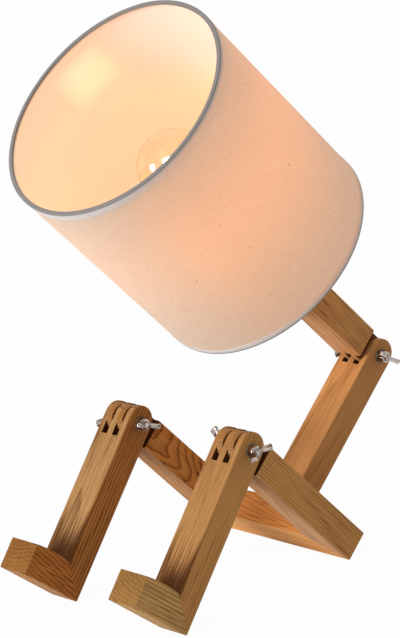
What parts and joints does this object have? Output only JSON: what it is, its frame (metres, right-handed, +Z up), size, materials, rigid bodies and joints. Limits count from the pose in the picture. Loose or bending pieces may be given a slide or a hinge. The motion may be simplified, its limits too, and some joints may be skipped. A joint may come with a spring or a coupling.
{
  "type": "desk lamp",
  "caption": "Desk lamp shaped like a small seated figure: wooden bar limbs with clamped knuckle joints, a tilting neck and a fabric drum shade over a clear globe bulb.",
  "frame": {"origin": "bottom centre of the lamp's bounding box, on the table", "axes": "+X to the figure's left, -Y where the feet point, +Z up"},
  "size_m": [0.151, 0.2752, 0.3521],
  "materials": {
    "wood": "sanded and clear oiled, straight grain",
    "dowel_wood": "turned beech",
    "bright_steel": "bright nickel plate",
    "zinc_steel": "zinc plated",
    "linen": "plain-woven linen on a stiff liner",
    "trim_tape": "folded cotton tape",
    "white_plastic": "moulded, satin",
    "brass": "pressed",
    "nickel": "plated",
    "black_glass": "glossy insulator",
    "black_rubber": "moulded",
    "clear_glass": "clear",
    "tungsten": "coiled wire, lit"
  },
  "bodies": {
    "pelvis": {"left_thigh": "wood", "right_thigh": "wood", "seat_crossbar": "wood", "seat_dowels": "dowel_wood", "torso_post": "wood", "torso_dowels": "dowel_wood", "neck_bolt": "bright_steel", "neck_washers": "bright_steel"},
    "left_leg": {"left_shin": "wood", "left_foot": "wood", "left_foot_dowel": "dowel_wood", "left_knee_bolt": "bright_steel", "left_knee_washers": "bright_steel"},
    "right_leg": {"right_shin": "wood", "right_foot": "wood", "right_foot_dowel": "dowel_wood", "right_knee_bolt": "bright_steel", "right_knee_washers": "bright_steel"},
    "head": {"neck_block": "wood", "cable_grommet": "black_rubber", "threaded_nipple": "zinc_steel", "nipple_locknut": "zinc_steel", "holder_cap": "white_plastic", "holder_skirt": "white_plastic", "screw_shell": "brass", "contact_block": "white_plastic", "centre_contact": "brass", "terminal_screws": "brass", "shade_collar": "white_plastic", "shade_spider": "zinc_steel", "shade_rear_ring": "zinc_steel", "shade_front_ring": "zinc_steel", "shade_skin": "linen", "shade_rear_trim": "trim_tape", "shade_front_trim": "trim_tape", "bulb_glass": "clear_glass", "bulb_cap": "nickel", "bulb_base": "black_glass", "filament_stem": "clear_glass", "filament": "tungsten"},
    "left_knee_nut": {"left_knee_wing_nut": "bright_steel"},
    "right_knee_nut": {"right_knee_wing_nut": "bright_steel"},
    "neck_nut": {"neck_wing_nut": "bright_steel"}
  },
  "joints": [
    {"name": "left_knee", "type": "hinge", "parent": "pelvis", "child": "left_leg", "pos_m": [0.0491, -0.03449, 0.0933], "axis": [-1, 0, 0], "range_deg": [-6, 98.5]},
    {"name": "right_knee", "type": "hinge", "parent": "pelvis", "child": "right_leg", "pos_m": [-0.0491, -0.03449, 0.0933], "axis": [-1, 0, 0], "range_deg": [-6, 98.5]},
    {"name": "neck_tilt", "type": "hinge", "parent": "pelvis", "child": "head", "pos_m": [0, 0.12692, 0.09611], "axis": [-1, 0, 0], "range_deg": [-4, 120]},
    {"name": "left_knee_nut_turn", "type": "hinge", "parent": "left_leg", "child": "left_knee_nut", "pos_m": [0.06155, -0.03449, 0.0933], "axis": [1, 0, 0], "continuous": true},
    {"name": "right_knee_nut_turn", "type": "hinge", "parent": "right_leg", "child": "right_knee_nut", "pos_m": [-0.03665, -0.03449, 0.0933], "axis": [1, 0, 0], "continuous": true},
    {"name": "neck_nut_turn", "type": "hinge", "parent": "pelvis", "child": "neck_nut", "pos_m": [0.01245, 0.12692, 0.09611], "axis": [1, 0, 0], "continuous": true}
  ]
}
